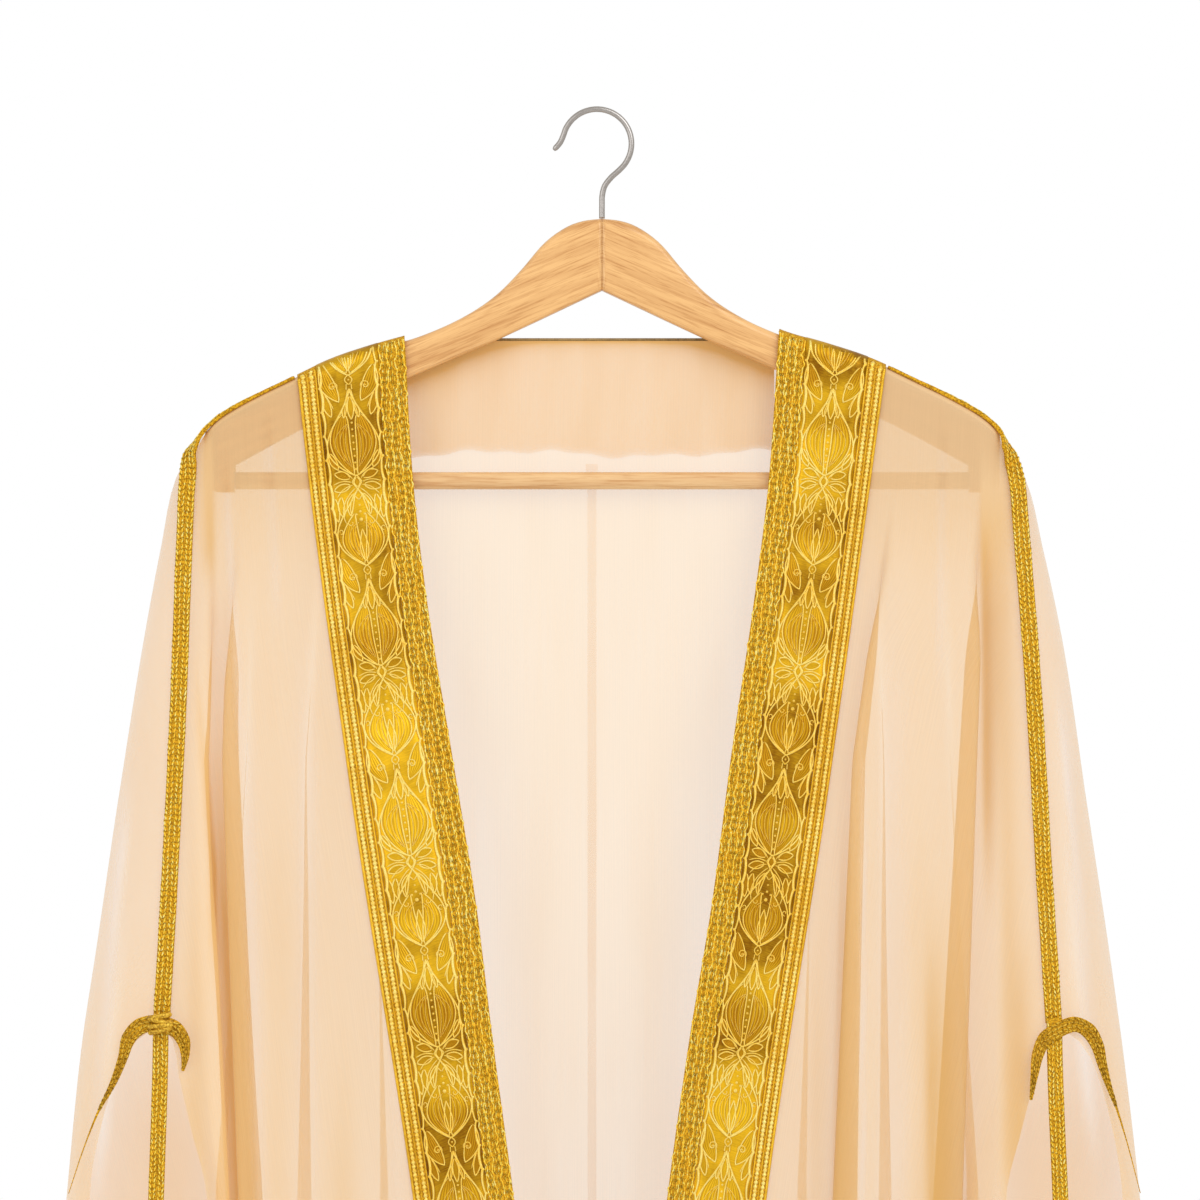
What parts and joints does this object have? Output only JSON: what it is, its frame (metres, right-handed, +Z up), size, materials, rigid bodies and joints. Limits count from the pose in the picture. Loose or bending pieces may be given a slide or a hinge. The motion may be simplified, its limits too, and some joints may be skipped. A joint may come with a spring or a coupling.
{
  "type": "bisht cloak on a hanger",
  "caption": "Sheer open-fronted bisht cloak with wide gold bands down its front edges and gold braid over the arms and round the hand slits, on a wooden hanger.",
  "frame": {"origin": "the point inside the hook's top bend that rests on a rail", "axes": "+Z up; the cloak's open front faces -Y, so its width lies along X and the left of the picture is -X"},
  "size_m": [0.6694, 0.1224, 1.61],
  "materials": {
    "sheer_cloth": "sheer, matte",
    "yoke_cloth": "double sheer cloth",
    "gold_brocade": "metallic thread, raised",
    "gold_border": "metallic thread, striped",
    "gold_braid": "metallic thread, chain stitch",
    "piping": "twisted thread",
    "pale_wood": "clear satin lacquer",
    "steel_wire": "polished wire"
  },
  "bodies": {
    "root": {"arm_braid_left": "gold_braid", "arm_braid_right": "gold_braid", "back_left": "sheer_cloth", "back_right": "sheer_cloth", "back_seam_strip": "sheer_cloth", "braid_tail_left": "gold_braid", "braid_tail_right": "gold_braid", "brocade_left": "gold_brocade", "brocade_right": "gold_brocade", "edge_braid_left": "gold_braid", "edge_braid_right": "gold_braid", "front_left": "sheer_cloth", "front_right": "sheer_cloth", "hanger_arm_left": "pale_wood", "hanger_arm_right": "pale_wood", "hanger_bar": "pale_wood", "hanger_hook": "steel_wire", "neck_piping": "piping", "slit_braid_left": "gold_braid", "slit_braid_right": "gold_braid", "slit_knot_left": "gold_braid", "stripe_border_left": "gold_border", "stripe_border_right": "gold_border", "yoke_facing": "yoke_cloth"}
  },
  "joints": []
}
